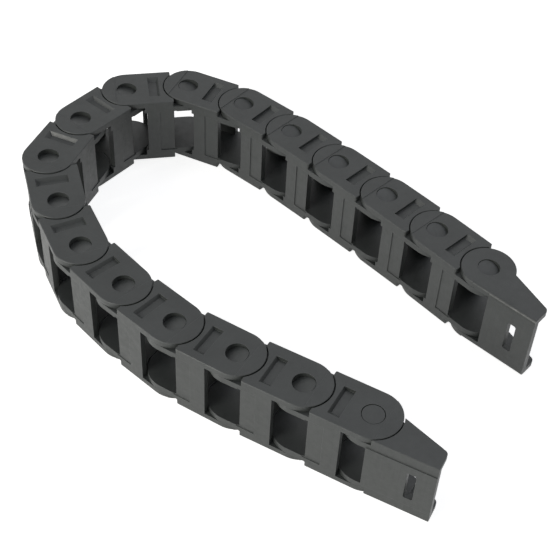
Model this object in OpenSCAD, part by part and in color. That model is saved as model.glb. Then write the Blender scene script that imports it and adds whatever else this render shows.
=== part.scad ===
// Cable drag chain: sixteen identical one-piece links between two end brackets.
// The chain lies on its side, so every hinge axis is vertical. A link has two outer side plates
// whose round nose carries the hinge hole, and two inner tail plates that carry the pins of the
// next hinge. Two crossbars tie the side plates together around the cable channel.

/* [Chain] */
// Distance from one hinge to the next
pitch = 26.5; // [25:0.25:34]
// Overall width across the side plates
width = 31; // [26:0.5:60]
// Height of a side plate, which is also the diameter of its round nose
height = 21; // [20:0.5:22]
// Bend between two links at which their stops meet, in degrees
bend_max = 41; // [20:1:45]

/* [Side plates] */
// Thickness of an outer side plate
plate_t = 2.5; // [2.3:0.1:4]
// Thickness of an inner tail plate
tail_t = 2.6; // [2:0.1:4]
// Play between a tail plate and the side plate over it
slide_gap = 0.15; // [0.1:0.05:0.4]
// Gap between a round nose and the hollow edge in front of it
nose_gap = 0.4; // [0.3:0.05:0.8]
// Gap between a round tail and what is cut away around it
tail_gap = 0.3; // [0.2:0.05:0.8]
// Chamfer along the outer edges
chamfer = 0.2; // [0.1:0.05:0.5]
// Radius of a link's corners on the tail side
corner_r = 0.8; // [0.3:0.1:1.5]
// Distance from the hinge to the raised tip of the nose
nose_tip_x = 4.9; // [4.8:0.1:7]
// How far the tip of the nose is raised
nose_tip_t = 0.2; // [0.1:0.05:0.4]

/* [Hinge pins] */
// Diameter of a hinge pin
pin_d = 8.3; // [6:0.1:9]
// Radial play of a pin in its hole
pin_play = 0.12; // [0.05:0.01:0.2]
// How far a pin's end lies below the side plate
pin_recess = 0.1; // [0.05:0.05:0.5]
// Chamfer round a pin's end
pin_chamfer = 0.2; // [0.1:0.05:0.4]
// How much a link's pin is ramped down at the tip of its tail, to spring into the next nose
pin_ramp = 2.2; // [1:0.1:2.3]

/* [Stops] */
// Inner radius of a stop lug
stop_r1 = 5.6; // [5.2:0.1:6.5]
// Outer radius of a stop lug
stop_r2 = 8.2; // [7.5:0.1:8.8]
// Height of a stop lug above its tail plate
stop_h = 1.0; // [0.5:0.1:1.2]
// Half of the angle that a stop lug spans
stop_half = 18; // [10:1:25]
// Play round a stop lug
stop_play = 0.3; // [0.15:0.05:0.4]
// How far the moving end bracket may also tip back
tip_back = 6; // [0:1:10]

/* [Crossbars] */
// Distance from the hinge to the crossbar on the outside of the bend
bar_x = 6.9; // [6.5:0.1:8]
// Width of that crossbar along the chain
bar_w = 12.4; // [10:0.1:12.6]
// How much later the crossbar on the inside of the bend starts
bar_setback = 1; // [0.5:0.1:2]
// Thickness of a crossbar
bar_t = 3; // [2.4:0.1:4]
// Width of the sunk strip on the tail side of a crossbar
strip_w = 6.1; // [3:0.1:8]
// Depth of the sunk strip
strip_t = 0.3; // [0.1:0.05:0.6]
// Width of the rim that frames the sunk strip
strip_rim = 4.6; // [4.2:0.1:5.2]

/* [Driver pockets] */
// Distance from the hinge to a pocket's steep wall
pocket_x = 9.3; // [9.2:0.1:9.8]
// Length of a pocket's floor along the chain
pocket_l = 3.6; // [2:0.1:4]
// Width of a pocket's floor
pocket_w = 11.6; // [6:0.2:12]
// Depth of a pocket
pocket_t = 1.4; // [0.4:0.1:2]
// How far the sloping wall across the chain runs out
pocket_run = 1; // [0.4:0.1:1.4]
// How far the sloping end wall runs out
pocket_end_run = 1.5; // [0.4:0.1:2]

/* [End brackets] */
// Distance from the hinge to the far end of a bracket
bracket_l = 28.5; // [27:0.5:40]
// Thickness of the mounting web
web_t = 2.8; // [2:0.1:4]
// How far the mounting web stands proud of the side plates
web_proud = 0.3; // [0.1:0.1:1]
// Width of the rim beside the fixed bracket's web
web_rim = 4.7; // [3:0.1:6]
// Radius of the moving bracket's edges along its web
web_edge_r = 1.5; // [0.5:0.1:2.2]
// Distance from the fixed bracket's hinge to its web
fixed_web_x = 2.4; // [2:0.1:6]
// Distance from the fixed bracket's hinge to its side plates, on the web side
fixed_plate_x = 4; // [3.6:0.1:6]
// Distance from the moving bracket's hinge to its web
moving_web_x = 7.8; // [7.6:0.1:12]
// Distance from the hinge to the middle of the screw slot
slot_x = 19.8; // [16:0.1:24]
// Width of the screw slot
slot_w = 3.5; // [2.5:0.1:5]
// Length of the screw slot, across the chain
slot_l = 14; // [6:0.5:16]
// Corner radius of the screw slot
slot_r = 0.9; // [0.4:0.1:1.2]
// Distance of a bracket's open flank from the hinge line, beside the nose
flank_y = 3.6; // [3:0.1:5]
// Slope of the open flank towards the web, in degrees
flank_slope = 19; // [10:1:22]
// Radius of the corner between the open flank and the far end
flank_r = 2; // [1:0.1:3]

/* [Hidden] */
$fn = 96;
// Bend at each hinge as stored, from the fixed bracket to the moving one, in degrees
rest_bends = [1.5, 0, 2.5, 11, 5.5, 17.5, 9.5, 38.5, 18, 40, 33.5, 15.5, 4, 1, 1, 1.5, -5.5];
link_count = len(rest_bends) - 1;
function link_name(k) = str("link_", k < 10 ? "0" : "", k);

half_w = width / 2;                       // outer face of a side plate
half_h = height / 2;
plate_z = half_w - plate_t;               // inner face of a side plate
tail_z2 = plate_z - slide_gap;            // outer face of a tail plate
tail_z1 = tail_z2 - tail_t;               // inner face of a tail plate
seat_r = half_h + nose_gap;               // hollow edge in front of the next nose
tail_room_r = half_h + tail_gap;          // room for the neighbour's round tail
bar_end = bar_x + bar_w;
hole_r = pin_d / 2 + pin_play;
eps = 0.01;
over = 1;                                 // how far a cutter passes the face it cuts
plastic = [0.20, 0.215, 0.22];

// Heading of link k, where link 0 is the fixed bracket. Every bend turns clockwise.
function bend_sum(k) = k == 0 ? 0 : bend_sum(k - 1) + rest_bends[k - 1];
function heading(k) = 180 - bend_sum(k);
// Hinge k lies between link k - 1 and link k. The fixed bracket's slot is the origin.
function hinge(k) = k == 1
    ? [-slot_x, half_h + web_proud, 0]
    : hinge(k - 1) + pitch * [cos(heading(k - 1)), sin(heading(k - 1)), 0];

module at_hinge(k) {
    translate(hinge(k)) rotate([0, 0, heading(k)]) children();
}

module both_sides() {
    children();
    mirror([0, 0, 1]) children();
}

// A disc from z1 to z2 whose upper edge is chamfered by c
module edged_disc(r, z1, z2, c) {
    rotate_extrude() polygon([[0, z1], [r, z1], [r, z2 - c], [r - c, z2], [0, z2]]);
}

// A hole from z1 to the outer face, where its mouth opens by the chamfer
module flared_cut(r, z1) {
    rotate_extrude() polygon([[0, z1], [r, z1], [r, half_w - chamfer], [r + chamfer + over, half_w + over],
        [0, half_w + over]]);
}

// What rounding takes off a square edge along z, whose corner is at the origin and whose faces
// lie towards -x and -y
module rounding(r, z1, z2) {
    difference() {
        translate([-r, -r, z1]) cube([r + over, r + over, z2 - z1]);
        translate([-r, -r, z1 - over]) cylinder(r = r, h = z2 - z1 + 2 * over);
    }
}

// A straight run of plate from x1 to x2, from the inner level z1 to the chamfered outer face
module edged_run(x1, x2, z1) {
    translate([x1, 0, 0]) rotate([90, 0, 90]) linear_extrude(x2 - x1) polygon([
        [-half_h, z1], [half_h, z1], [half_h, half_w - chamfer], [half_h - chamfer, half_w],
        [chamfer - half_h, half_w], [-half_h, half_w - chamfer]]);
}

// A bar with a triangular section that takes the corner off a straight edge along y
module end_chamfer(x, z) {
    translate([x, 0, z]) rotate([0, 45, 0]) cube([chamfer * sqrt(2), 2 * height, chamfer * sqrt(2)], center = true);
}

// Part of a ring between two angles, from z1 to z2
module ring_part(r1, r2, a1, a2, z1, z2) {
    far = 2 * r2;
    mid = (a1 + a2) / 2;
    intersection() {
        translate([0, 0, z1]) difference() {
            cylinder(r = r2, h = z2 - z1);
            translate([0, 0, -over]) cylinder(r = r1, h = z2 - z1 + 2 * over);
        }
        translate([0, 0, z1 - over]) linear_extrude(z2 - z1 + 2 * over) polygon([
            [0, 0], [far * cos(a1), far * sin(a1)], [far * cos(mid), far * sin(mid)],
            [far * cos(a2), far * sin(a2)]]);
    }
}

// The tip of a link's nose, raised above the side plate
module nose_tip() {
    difference() {
        edged_disc(half_h, plate_z, half_w + nose_tip_t, chamfer);
        translate([-nose_tip_x, -height, 0]) cube([2 * height, 2 * height, width]);
    }
}

// What the round nose needs: its hinge hole and the groove in which the neighbour's lug runs
module nose_cuts(back) {
    translate([0, 0, plate_z - over]) cylinder(r = hole_r, h = plate_t + 2 * over);
    lug_edge = stop_half + asin(stop_play / stop_r2) / 4;
    ring_part(stop_r1 - stop_play, stop_r2 + stop_play, -back - lug_edge, bend_max + lug_edge,
        plate_z - over, tail_z2 + stop_h + stop_play);
}

// The pin on a tail plate
module hinge_pin() {
    edged_disc(pin_d / 2, tail_z1 + eps, half_w - pin_recess, pin_chamfer);
}

// A pin whose end is ramped down towards the tip of the tail
module ramped_pin() {
    difference() {
        hinge_pin();
        translate([-pin_d / 2, -pin_d, half_w - pin_recess]) rotate([0, atan(pin_ramp / pin_d), 0])
            cube([2 * pin_d, 2 * pin_d, height]);
    }
}

// The lug beside a pin that meets the stops
module stop_lug(lug_angle) {
    ring_part(stop_r1, stop_r2, lug_angle - stop_half, lug_angle + stop_half, tail_z2 - over, tail_z2 + stop_h);
}

// Room for the next link's nose over the tail plate, ahead of the hollow edge
module next_nose_room() {
    translate([0, 0, tail_z2]) cylinder(r = seat_r, h = half_w);
}

// Section of a pocket: a steep wall at 0, a flat floor l long, and a wall that slopes out over run
module pocket_section(l, run) {
    polygon([[0, over], [0, -pocket_t], [l, -pocket_t], [l + run * (1 + over / pocket_t), over]]);
}

// A pocket for a screwdriver's tip, with a sloping wall across the chain and a sloping end
module driver_pocket() {
    translate([pocket_x, -pocket_w / 2, half_w]) intersection() {
        translate([0, height, 0]) rotate([90, 0, 0]) linear_extrude(2 * height) pocket_section(pocket_l, pocket_run);
        rotate([90, 0, 90]) linear_extrude(height) pocket_section(pocket_w, pocket_end_run);
    }
}

// What rounds a side plate's corner on the tail side
module plate_corner() {
    translate([bar_end, half_h, 0]) rounding(corner_r, plate_z, half_w + over);
}

module link_plate() {
    difference() {
        union() {
            edged_disc(half_h, plate_z, half_w, chamfer);
            nose_tip();
            edged_run(0, bar_end, plate_z);
        }
        nose_cuts(0);
        driver_pocket();
        translate([pitch, 0, 0]) flared_cut(seat_r, plate_z - over);
        end_chamfer(bar_end, half_w);
        plate_corner();
        mirror([0, 1, 0]) plate_corner();
    }
}

module link_tail() {
    difference() {
        union() {
            translate([bar_x, -half_h, tail_z1]) cube([pitch - bar_x, height, tail_t]);
            translate([bar_x, -half_h, tail_z1]) cube([bar_w, height, plate_z + eps - tail_z1]);
            translate([pitch, 0, tail_z1]) cylinder(r = half_h, h = tail_t);
        }
        cylinder(r = tail_room_r, h = half_w);
        translate([pitch, 0, 0]) next_nose_room();
    }
    translate([pitch, 0, 0]) {
        ramped_pin();
        stop_lug(0);
    }
}

// A crossbar at +y that starts at x1
module crossbar(x1) {
    difference() {
        translate([x1, half_h - bar_t, -tail_z1 - eps]) cube([bar_end - x1, bar_t, 2 * (tail_z1 + eps)]);
        translate([0, 0, -half_w]) cylinder(r = tail_room_r, h = width);
    }
}

// The sunk strip on the tail side of a crossbar
module strip_cut() {
    z = half_w - strip_rim;
    translate([bar_end - strip_w, half_h - strip_t, -z]) cube([strip_w + over, over, 2 * z]);
}

module chain_link(k) {
    color(plastic) at_hinge(k) difference() {
        union() {
            both_sides() {
                link_plate();
                link_tail();
            }
            crossbar(bar_x);
            mirror([0, 1, 0]) crossbar(bar_x + bar_setback);
        }
        strip_cut();
        mirror([0, 1, 0]) strip_cut();
    }
}

// Height of a bracket's open flank at a distance x from the hinge
function flank(x) = flank_y - (x - half_h) * tan(flank_slope);
flank_cx = bracket_l - flank_r;                                   // centre of the flank's corner
flank_cy = flank(flank_cx) - flank_r / cos(flank_slope);

// A bracket's side from the inner level z1 to the outer face: web at -y, open flank at +y
module bracket_side(z1) {
    t = half_w - z1;
    difference() {
        union() {
            translate([0, 0, z1]) linear_extrude(t)
                polygon([[0, -half_h], [flank_cx, -half_h], [flank_cx, flank(flank_cx)], [0, flank(0)]]);
            translate([flank_cx - eps, -half_h, z1]) cube([flank_r + eps, half_h + flank_cy, t]);
            translate([flank_cx, flank_cy, z1]) cylinder(r = flank_r, h = t);
        }
        translate([0, -half_h, half_w]) rotate([45, 0, 0])
            cube([3 * bracket_l, chamfer * sqrt(2), chamfer * sqrt(2)], center = true);
    }
}

// The web from x1 on, between the side plates, with a proud panel that reaches z to either side
module mounting_web(x1, z) {
    y = -half_h - web_proud;
    difference() {
        union() {
            translate([x1, y, -z]) cube([bracket_l - x1, web_t, 2 * z]);
            translate([x1, -half_h, -plate_z - eps])
                cube([bracket_l - x1, web_t - web_proud, 2 * (plate_z + eps)]);
        }
        for (side = [-1, 1]) translate([slot_x, y + web_t / 2, side * (slot_l / 2 - slot_r)]) {
            cube([slot_w - 2 * slot_r, 2 * web_t, 2 * slot_r], center = true);
            for (end = [-1, 1]) translate([end * (slot_w / 2 - slot_r), 0, 0]) rotate([90, 0, 0])
                cylinder(r = slot_r, h = 2 * web_t, center = true);
        }
        translate([slot_x, y + web_t / 2, 0])
            cube([slot_w, 2 * web_t, slot_l - 2 * slot_r], center = true);
    }
}

module fixed_bracket() {
    color(plastic) translate(hinge(1)) {
        difference() {
            union() {
                both_sides() {
                    difference() {
                        bracket_side(tail_z1);
                        translate([bar_end, -height, 0]) cube([bracket_l, 2 * height, plate_z]);
                    }
                    translate([0, 0, tail_z1]) cylinder(r = half_h, h = tail_t);
                }
                mounting_web(fixed_web_x, half_w - web_rim);
            }
            both_sides() {
                next_nose_room();
                translate([-height, -height, tail_z2]) cube([height + fixed_plate_x, height, half_w]);
            }
        }
        both_sides() {
            hinge_pin();
            stop_lug(180);
        }
    }
}

module moving_bracket() {
    color(plastic) at_hinge(link_count + 1) difference() {
        union() {
            both_sides() {
                bracket_side(plate_z);
                edged_disc(half_h, plate_z, half_w, chamfer);
            }
            mounting_web(moving_web_x, half_w);
        }
        both_sides() {
            nose_cuts(tip_back);
            translate([0, -half_h - web_proud, half_w]) rotate([0, 90, 0]) rotate([0, 0, 180])
                rounding(web_edge_r, 0, 2 * bracket_l);
        }
        translate([0, 0, -plate_z]) cylinder(r = tail_room_r, h = 2 * plate_z);
    }
}

fixed_bracket();
for (k = [1:link_count]) chain_link(k);
moving_bracket();
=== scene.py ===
import math

import bpy
from mathutils import Matrix, Vector


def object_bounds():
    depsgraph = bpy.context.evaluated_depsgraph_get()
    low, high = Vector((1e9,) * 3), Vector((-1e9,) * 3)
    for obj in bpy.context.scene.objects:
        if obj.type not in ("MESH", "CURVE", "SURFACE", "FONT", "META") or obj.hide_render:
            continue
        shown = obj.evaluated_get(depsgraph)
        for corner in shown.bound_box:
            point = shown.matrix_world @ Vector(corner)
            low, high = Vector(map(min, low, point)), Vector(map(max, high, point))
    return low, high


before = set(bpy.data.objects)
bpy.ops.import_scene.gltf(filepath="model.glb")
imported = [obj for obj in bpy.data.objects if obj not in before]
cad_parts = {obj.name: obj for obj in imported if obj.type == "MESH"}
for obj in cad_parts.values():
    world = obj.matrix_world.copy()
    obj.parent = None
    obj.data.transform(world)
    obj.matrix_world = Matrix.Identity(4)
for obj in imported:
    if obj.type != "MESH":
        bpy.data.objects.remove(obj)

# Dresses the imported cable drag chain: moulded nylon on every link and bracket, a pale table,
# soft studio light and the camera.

MM = 0.001                                 # a millimetre in metres

CAD_LOW, CAD_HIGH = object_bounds()
CENTRE = (CAD_LOW + CAD_HIGH) / 2
SPAN = (CAD_HIGH - CAD_LOW).length         # the chain's own diagonal, which places the lamps


def linear(colour):
    """Turns an sRGB hex colour into the linear RGBA that a socket takes."""
    parts = [int(colour[i:i + 2], 16) / 255 for i in (1, 3, 5)]
    return [c / 12.92 if c <= 0.04045 else ((c + 0.055) / 1.055) ** 2.4 for c in parts] + [1.0]


def add(tree, kind, inputs=None, **settings):
    """Adds a node, sets its properties, and sets or links its inputs."""
    made = tree.nodes.new(kind)
    for name, value in settings.items():
        setattr(made, name, value)
    for name, value in (inputs or {}).items():
        if isinstance(value, bpy.types.NodeSocket):
            tree.links.new(value, made.inputs[name])
        else:
            made.inputs[name].default_value = value
    return made


def new_material(name):
    """An empty node material with its output node."""
    material = bpy.data.materials.new(name)
    material.use_nodes = True
    material.node_tree.nodes.clear()
    return material, material.node_tree, material.node_tree.nodes.new("ShaderNodeOutputMaterial")


# ---------------------------------------------------------------------------------- finishes

SKIN_GRAIN = 0.35 * MM       # spark-eroded mould skin, drawn coarser than its real 0.05 mm to show
SKIN_DEPTH = 0.03 * MM       # height of that grain
CLOUD = 14 * MM              # size of the cloudy patches that the melt leaves in the colour
SCUFF = 2.4 * MM             # spacing of the faint rubbed spots
SINK_DEPTH = 0.12 * MM       # height of the slow waves that the skin takes as the melt shrinks
DRAW_LINE = 0.5 * MM         # spacing of the lines left as a wall slid out of the mould
DRAW_RATE = 0.03             # how fast a line changes along itself, beside across it
EDGE_ROUND = 0.15 * MM       # radius that the mould leaves on an edge
WORN_AND_GLINT_WIDTH = 0.3 * MM         # width of the paler edge band: worn nylon and a painted highlight along the edge

CHARCOAL_DEEP = "#282b2b"
CHARCOAL_PALE = "#333636"
DRAWN_WALL = "#383b39"
# paler edge colour: partly worn nylon, partly a painted highlight along the edges
RUBBED_AND_GLINT_TINT = "#505354"
NYLON_IOR = 1.53


def moulded_nylon():
    """Charcoal nylon, injection moulded in a spark-eroded tool: an even, dry matte skin whose
    edges are worn a little paler and carry a painted highlight, with cloudy patches and upright draw
    lines on its walls."""
    material, tree, output = new_material("injection_moulded_nylon")
    place = add(tree, "ShaderNodeTexCoord").outputs["Object"]
    facing = add(tree, "ShaderNodeNewGeometry").outputs["Normal"]

    cloud = add(tree, "ShaderNodeTexNoise", {
        "Vector": place, "Scale": 1 / CLOUD, "Detail": 3.0, "Roughness": 0.55}).outputs["Fac"]
    scuff = add(tree, "ShaderNodeTexNoise", {
        "Vector": place, "Scale": 1 / SCUFF, "Detail": 5.0, "Roughness": 0.65}).outputs["Fac"]
    grain = add(tree, "ShaderNodeTexNoise", {
        "Vector": place, "Scale": 1 / SKIN_GRAIN, "Detail": 2.0}).outputs["Fac"]

    # Draw lines run along the pins, on the upright walls alone.
    stretched = add(tree, "ShaderNodeMapping", {
        "Vector": place, "Scale": (1 / DRAW_LINE, 1 / DRAW_LINE, DRAW_RATE / DRAW_LINE)}).outputs[0]
    lines = add(tree, "ShaderNodeTexNoise", {
        "Vector": stretched, "Scale": 1.0, "Detail": 2.0}).outputs["Fac"]
    up = add(tree, "ShaderNodeSeparateXYZ", {0: facing}).outputs["Z"]
    steep = add(tree, "ShaderNodeMath", {0: up}, operation="ABSOLUTE").outputs[0]
    upright = add(tree, "ShaderNodeMapRange", {
        "Value": steep, "From Min": 0.3, "From Max": 0.6, "To Min": 1.0, "To Max": 0.0}).outputs[0]
    drawn = add(tree, "ShaderNodeMath", {0: lines, 1: upright}, operation="MULTIPLY").outputs[0]

    # Near an edge the rounded normal leaves the face's own. That marks the paler band, which is
    # partly worn nylon and partly a painted edge highlight.
    rounded = add(tree, "ShaderNodeBevel", {"Radius": WORN_AND_GLINT_WIDTH}, samples=6).outputs[0]
    turned = add(tree, "ShaderNodeVectorMath", {0: rounded, 1: facing}, operation="DOT_PRODUCT")
    edge = add(tree, "ShaderNodeMapRange", {
        "Value": turned.outputs["Value"], "From Min": 0.99, "From Max": 0.80}).outputs[0]
    rubbed_and_glint = add(tree, "ShaderNodeMath", {0: edge, 1: scuff}, operation="MULTIPLY").outputs[0]

    ramp = add(tree, "ShaderNodeValToRGB", {"Fac": cloud})
    stops = ((0.3, CHARCOAL_DEEP), (0.7, CHARCOAL_PALE))
    for element, (position, tint) in zip(ramp.color_ramp.elements, stops):
        element.position = position
        element.color = linear(tint)
    lined = add(tree, "ShaderNodeMix", {
        "Factor": drawn, 6: ramp.outputs[0], 7: linear(DRAWN_WALL)}, data_type="RGBA").outputs[2]
    # Edges take the paler colour: worn nylon together with a painted edge highlight.
    colour = add(tree, "ShaderNodeMix", {
        "Factor": rubbed_and_glint, 6: lined, 7: linear(RUBBED_AND_GLINT_TINT)}, data_type="RGBA").outputs[2]

    rough = add(tree, "ShaderNodeMapRange", {
        "Value": scuff, "From Min": 0.3, "From Max": 0.7, "To Min": 0.42, "To Max": 0.56}).outputs[0]
    soft_edge = add(tree, "ShaderNodeBevel", {"Radius": EDGE_ROUND}, samples=6).outputs[0]
    wavy = add(tree, "ShaderNodeBump", {
        "Strength": 0.5, "Distance": SINK_DEPTH, "Height": scuff, "Normal": soft_edge}).outputs[0]
    skin = add(tree, "ShaderNodeBump", {
        "Strength": 0.4, "Distance": SKIN_DEPTH, "Height": grain, "Normal": wavy}).outputs[0]
    shader = add(tree, "ShaderNodeBsdfPrincipled", {
        "Base Color": colour, "Roughness": rough, "IOR": NYLON_IOR, "Normal": skin})
    tree.links.new(shader.outputs[0], output.inputs["Surface"])
    return material


TABLE_WHITE = "#e4e4e4"
TABLE_GLOW = 0.8             # what is seen of the table besides its own lit colour


def seen_ray(tree):
    """1 for what is seen, straight or mirrored in the nylon, and 0 for what only lights it."""
    path = add(tree, "ShaderNodeLightPath")
    return add(tree, "ShaderNodeMath", {
        0: path.outputs["Is Camera Ray"], 1: path.outputs["Is Glossy Ray"]},
        operation="MAXIMUM").outputs[0]


def matt_table():
    """A pale painted board: an even dull white, which keeps the shadows."""
    material, tree, output = new_material("matt_painted_table")
    glow = add(tree, "ShaderNodeMath", {
        0: seen_ray(tree), 1: TABLE_GLOW}, operation="MULTIPLY").outputs[0]
    paint = add(tree, "ShaderNodeBsdfDiffuse", {"Color": linear(TABLE_WHITE)})
    lift = add(tree, "ShaderNodeEmission", {"Color": linear("#ffffff"), "Strength": glow})
    both = add(tree, "ShaderNodeAddShader", {0: paint.outputs[0], 1: lift.outputs[0]})
    tree.links.new(both.outputs[0], output.inputs["Surface"])
    return material


# ------------------------------------------------------------------------------------- chain

def dress_chain():
    """Gives every link and bracket the same moulded nylon."""
    nylon = moulded_nylon()
    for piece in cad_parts.values():
        for slot in piece.material_slots:
            slot.material = nylon


# ------------------------------------------------------------------------------------ studio

SKY = 0.22                   # strength of the even light from all round
LAMP_AWAY = 4 * SPAN
FLOOR_REACH = 20 * SPAN
FLOOR_DROP = 0.02 * MM       # keeps the table clear of the chain's lowest faces

CAMERA_PLACE = Vector((56.6, -239.1, 353.8)) * MM
CAMERA_TURN = 24.524         # degrees round Z, from looking along +Y
CAMERA_TILT = 46.73          # degrees below the horizon
CAMERA_ROLL = 3.47
CAMERA_LENS = 80.74          # on a sensor 36 wide


def place_camera():
    """The camera stands in front of the near leg and looks down across both legs."""
    data = bpy.data.cameras.new("camera")
    data.sensor_width = 36
    data.lens = CAMERA_LENS
    data.clip_start = 0.01
    camera = bpy.data.objects.new("camera", data)
    turn = (Matrix.Rotation(math.radians(CAMERA_TURN), 4, "Z")
            @ Matrix.Rotation(math.radians(90 - CAMERA_TILT), 4, "X")
            @ Matrix.Rotation(math.radians(CAMERA_ROLL), 4, "Z"))
    camera.matrix_world = Matrix.Translation(CAMERA_PLACE) @ turn
    bpy.context.scene.collection.objects.link(camera)
    bpy.context.scene.camera = camera


def soft_box(name, azimuth, elevation, size, power, colour):
    """A square area lamp that faces the chain. Azimuth 0 is on the -Y side, 90 on the +X side."""
    data = bpy.data.lights.new(name, "AREA")
    data.shape = "SQUARE"
    data.size = size * SPAN
    data.energy = power
    data.color = linear(colour)[:3]
    lamp = bpy.data.objects.new(name, data)
    a, e = math.radians(azimuth), math.radians(elevation)
    back = Vector((math.sin(a) * math.cos(e), -math.cos(a) * math.cos(e), math.sin(e)))
    lamp.matrix_world = (Matrix.Translation(CENTRE + back * LAMP_AWAY)
                         @ back.to_track_quat("Z", "Y").to_matrix().to_4x4())
    bpy.context.scene.collection.objects.link(lamp)


def lay_floor():
    """One wide square of table under the chain, with nothing behind it but the white world."""
    mesh = bpy.data.meshes.new("floor")
    corners = [(CENTRE.x + x * FLOOR_REACH, CENTRE.y + y * FLOOR_REACH, CAD_LOW.z - FLOOR_DROP)
               for x, y in ((-1, -1), (1, -1), (1, 1), (-1, 1))]
    mesh.from_pydata(corners, [], [(0, 1, 2, 3)])
    mesh.materials.append(matt_table())
    floor = bpy.data.objects.new("floor", mesh)
    bpy.context.scene.collection.objects.link(floor)


def light_world():
    """Even white light from all round, dimmer as light than it is as the background."""
    world = bpy.data.worlds.new("studio")
    world.use_nodes = True
    tree = world.node_tree
    tree.nodes.clear()
    strength = add(tree, "ShaderNodeMapRange", {
        "Value": seen_ray(tree), "To Min": SKY, "To Max": 1.0}).outputs[0]
    sky = add(tree, "ShaderNodeBackground", {"Color": linear("#ffffff"), "Strength": strength})
    tree.links.new(sky.outputs[0], add(tree, "ShaderNodeOutputWorld").inputs["Surface"])
    bpy.context.scene.world = world


place_camera()
light_world()
soft_box("key_lamp", azimuth=-28, elevation=22, size=1.8, power=7.8, colour="#fffdf6")
soft_box("back_lamp", azimuth=150, elevation=66, size=2.2, power=1.3, colour="#eef2ff")
lay_floor()
dress_chain()
bpy.context.scene.view_settings.view_transform = "Standard"
